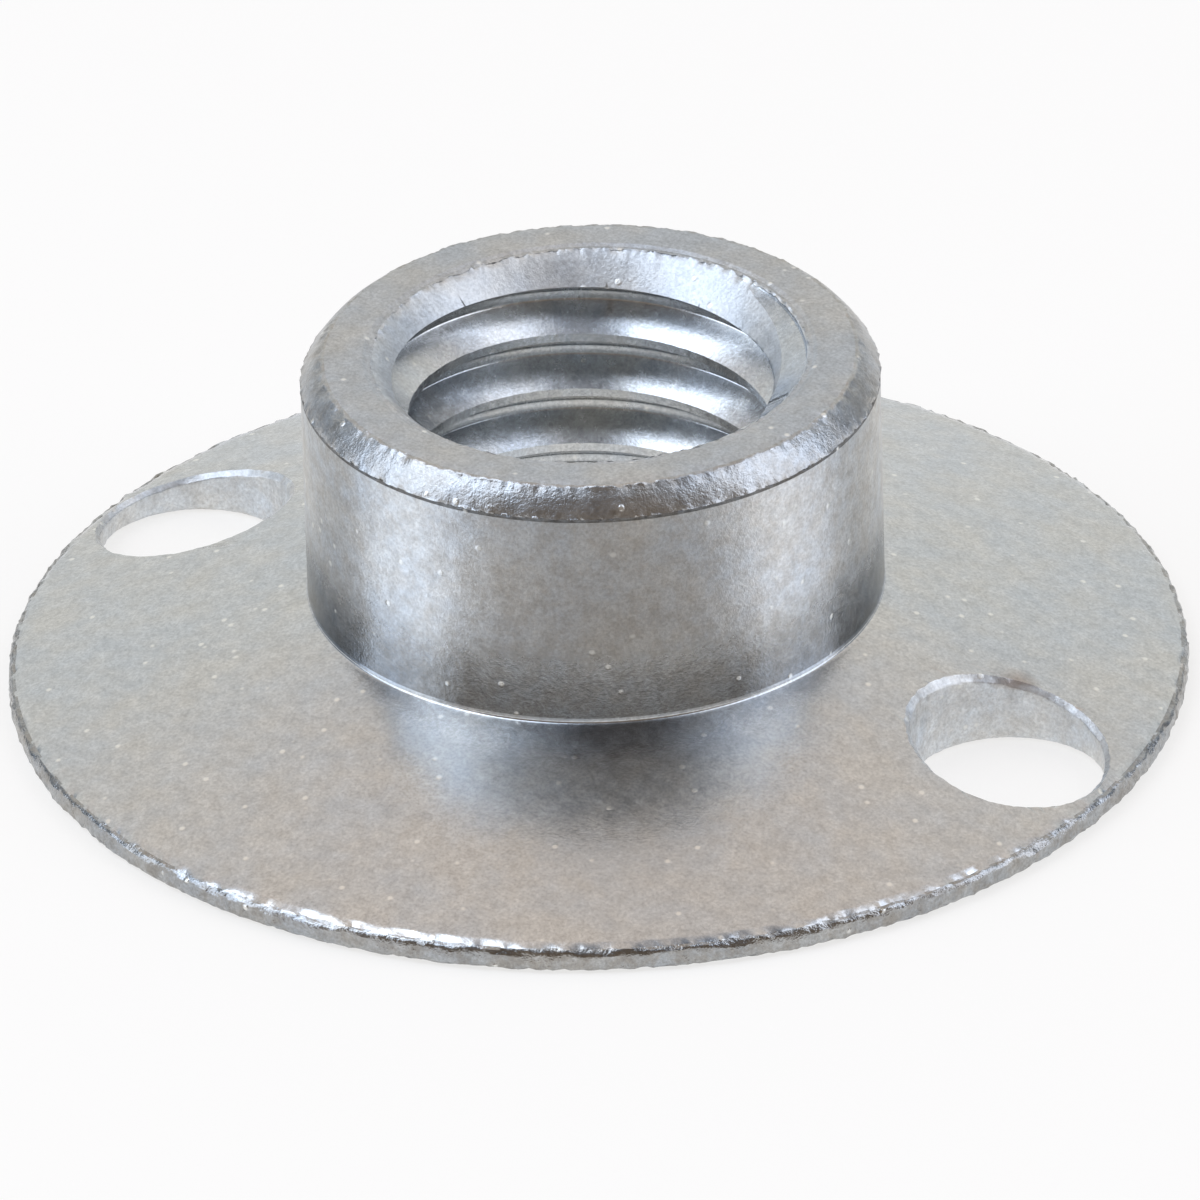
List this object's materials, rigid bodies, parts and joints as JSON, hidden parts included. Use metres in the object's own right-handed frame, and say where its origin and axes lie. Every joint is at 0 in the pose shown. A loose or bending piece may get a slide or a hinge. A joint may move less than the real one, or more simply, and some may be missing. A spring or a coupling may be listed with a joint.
{
  "type": "clamping nut",
  "caption": "Round steel clamping nut: a threaded boss on a thin coned flange, with wrench holes through the flange, that clamps a sanding disc against its backing pad.",
  "frame": {"origin": "centre of the flat wrench face, on the axis of the bore", "axes": "+Z along the bore from the flat face to the mouth of the boss, +X through one of the two wrench holes"},
  "size_m": [0.0434, 0.0434, 0.0135],
  "materials": {
    "zinc_plated_steel": "bright zinc plating, satin, lightly worn"
  },
  "bodies": {
    "root": {"clamping_nut": "zinc_plated_steel"}
  },
  "joints": []
}
